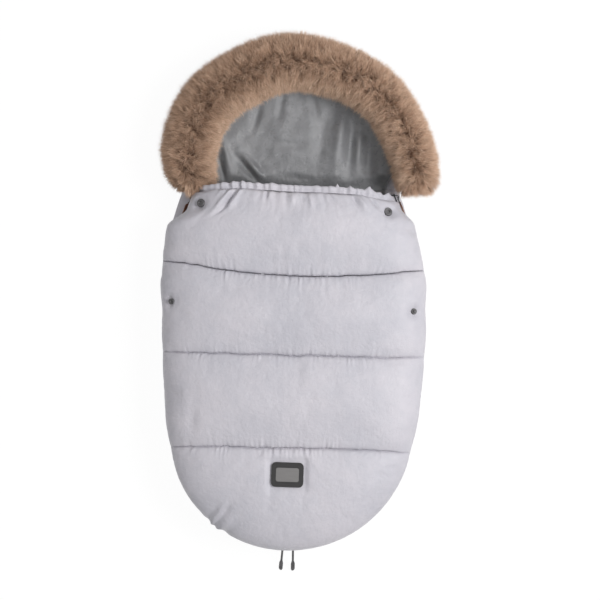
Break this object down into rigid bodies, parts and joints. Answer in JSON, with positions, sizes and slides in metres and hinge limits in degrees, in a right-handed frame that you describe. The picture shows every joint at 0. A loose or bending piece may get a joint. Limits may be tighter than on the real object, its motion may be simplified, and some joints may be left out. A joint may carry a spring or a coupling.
{
  "type": "stroller footmuff",
  "caption": "Quilted footmuff with a fur-trimmed hood, a zip-off cover and a fold-down flap held by snaps.",
  "frame": {"origin": "on the flat back, on the bag's mid-line, where the seat's middle is", "axes": "+Y towards the hood, -Y towards the toe, +Z out of the front of the cover, +X to the right in the picture"},
  "size_m": [0.4838, 0.9517, 0.15],
  "materials": {
    "pearl_quilt": "pearl grey nylon with a soft sheen",
    "grey_lining": "matt grey fleece",
    "brown_fur": "beige-brown faux fur",
    "fur_backing": "knitted backing",
    "zip_tape": "woven tape with a nylon coil",
    "gunmetal": "gunmetal plated",
    "brown_leather": "smooth brown leather",
    "dark_rubber": "matt moulded rubber",
    "brushed_plate": "brushed",
    "white_elastic": "woven elastic"
  },
  "bodies": {
    "back": {"back_outer": "pearl_quilt", "back_lining": "grey_lining", "hood_shell": "pearl_quilt", "hood_lining": "grey_lining", "fur_trim": "brown_fur", "fur_backing": "fur_backing", "back_zip_left": "zip_tape", "back_zip_right": "zip_tape", "shoulder_slot_binding_left": "zip_tape", "shoulder_slot_binding_right": "zip_tape", "crotch_slot_binding": "zip_tape"},
    "cover": {"cover_quilt": "pearl_quilt", "cover_lining": "grey_lining", "cover_zip_left": "zip_tape", "cover_zip_right": "zip_tape", "badge_patch": "dark_rubber", "badge_plate": "brushed_plate", "snap_stud_left": "gunmetal", "snap_stud_right": "gunmetal", "snap_stud_back_left": "gunmetal", "snap_stud_back_right": "gunmetal"},
    "flap": {"flap_quilt": "pearl_quilt", "flap_lining": "grey_lining", "hem_casing": "pearl_quilt", "hem_elastic": "white_elastic", "flap_zip_left": "zip_tape", "flap_zip_right": "zip_tape", "snap_socket_left": "gunmetal", "snap_socket_right": "gunmetal", "snap_socket_back_left": "gunmetal", "snap_socket_back_right": "gunmetal"},
    "top_runner_left": {"top_slider_left": "gunmetal"},
    "top_runner_right": {"top_slider_right": "gunmetal"},
    "toe_runner_left": {"toe_slider_left": "gunmetal"},
    "toe_runner_right": {"toe_slider_right": "gunmetal"},
    "top_puller_left": {"top_pull_link_left": "gunmetal", "top_pull_tab_left": "brown_leather"},
    "top_puller_right": {"top_pull_link_right": "gunmetal", "top_pull_tab_right": "brown_leather"},
    "toe_puller_left": {"toe_pull_link_left": "gunmetal", "toe_pull_tab_left": "gunmetal"},
    "toe_puller_right": {"toe_pull_link_right": "gunmetal", "toe_pull_tab_right": "gunmetal"}
  },
  "joints": [
    {"name": "cover_swing", "type": "hinge", "parent": "back", "child": "cover", "pos_m": [-0.236, 0, 0.04], "axis": [0, -1, 0], "range_deg": [0, 140]},
    {"name": "flap_fold", "type": "hinge", "parent": "cover", "child": "flap", "pos_m": [0, 0.0405, 0.152], "axis": [1, 0, 0], "range_deg": [0, 170]},
    {"name": "top_travel_left", "type": "hinge", "parent": "back", "child": "top_runner_left", "pos_m": [0.573, -0.08, 0.04], "axis": [0, 0, -1], "range_deg": [-29, 0]},
    {"name": "top_travel_right", "type": "hinge", "parent": "back", "child": "top_runner_right", "pos_m": [-0.573, -0.08, 0.04], "axis": [0, 0, 1], "range_deg": [-29, 0]},
    {"name": "toe_travel_left", "type": "hinge", "parent": "back", "child": "toe_runner_left", "pos_m": [0, -0.22588, 0.04], "axis": [0, 0, 1], "range_deg": [-66, 0]},
    {"name": "toe_travel_right", "type": "hinge", "parent": "back", "child": "toe_runner_right", "pos_m": [0, -0.22588, 0.04], "axis": [0, 0, -1], "range_deg": [-66, 0]},
    {"name": "top_pull_swing_left", "type": "hinge", "parent": "top_runner_left", "child": "top_puller_left", "pos_m": [-0.18585, 0.18472, 0.04], "axis": [0, 0, -1], "range_deg": [0, 85]},
    {"name": "top_pull_swing_right", "type": "hinge", "parent": "top_runner_right", "child": "top_puller_right", "pos_m": [0.18585, 0.18472, 0.04], "axis": [0, 0, 1], "range_deg": [0, 85]},
    {"name": "toe_pull_swing_left", "type": "hinge", "parent": "toe_runner_left", "child": "toe_puller_left", "pos_m": [-0.02027, -0.43733, 0.04], "axis": [0.052, 0.5422, -0.8387], "range_deg": [0, 90]},
    {"name": "toe_pull_swing_right", "type": "hinge", "parent": "toe_runner_right", "child": "toe_puller_right", "pos_m": [-0.00249, -0.43829, 0.04], "axis": [-0.0064, -0.5446, 0.8387], "range_deg": [0, 90]}
  ]
}
